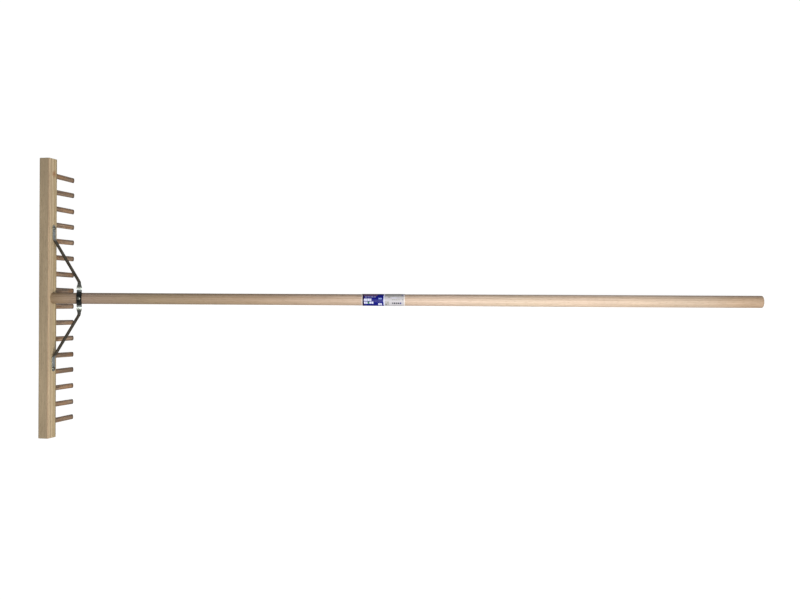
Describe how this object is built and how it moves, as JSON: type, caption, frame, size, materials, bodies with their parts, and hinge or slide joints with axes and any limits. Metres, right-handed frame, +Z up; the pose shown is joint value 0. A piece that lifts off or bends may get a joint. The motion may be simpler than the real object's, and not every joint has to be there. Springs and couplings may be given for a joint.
{
  "type": "hay rake",
  "caption": "Wooden hay rake: a straight head with a row of leaning dowel teeth, a long round handle and a twisted flat-steel brace screwed over the handle.",
  "frame": {"origin": "middle of the footprint on the floor, with the rake resting on its tooth tips and its grip end", "axes": "+X along the handle from the head to the grip, +Y along the head, +Z up"},
  "size_m": [1.806, 0.7, 0.1426],
  "materials": {
    "head_wood": "planed, unfinished",
    "tooth_wood": "dowelled, unfinished",
    "handle_wood": "turned and sanded",
    "strip_steel": "zinc plated, semi-gloss",
    "screw_steel": "zinc plated",
    "label_film": "printed film"
  },
  "bodies": {
    "root": {"head_bar": "head_wood", "handle": "handle_wood", "tooth_01": "tooth_wood", "tooth_02": "tooth_wood", "tooth_03": "tooth_wood", "tooth_04": "tooth_wood", "tooth_05": "tooth_wood", "tooth_06": "tooth_wood", "tooth_07": "tooth_wood", "tooth_08": "tooth_wood", "tooth_09": "tooth_wood", "tooth_10": "tooth_wood", "tooth_11": "tooth_wood", "tooth_12": "tooth_wood", "tooth_13": "tooth_wood", "tooth_14": "tooth_wood", "tooth_15": "tooth_wood", "tooth_16": "tooth_wood", "brace_strap": "strip_steel", "brace_screw_left": "screw_steel", "brace_screw_right": "screw_steel", "saddle_screw": "screw_steel", "label_sleeve": "label_film"}
  },
  "joints": []
}
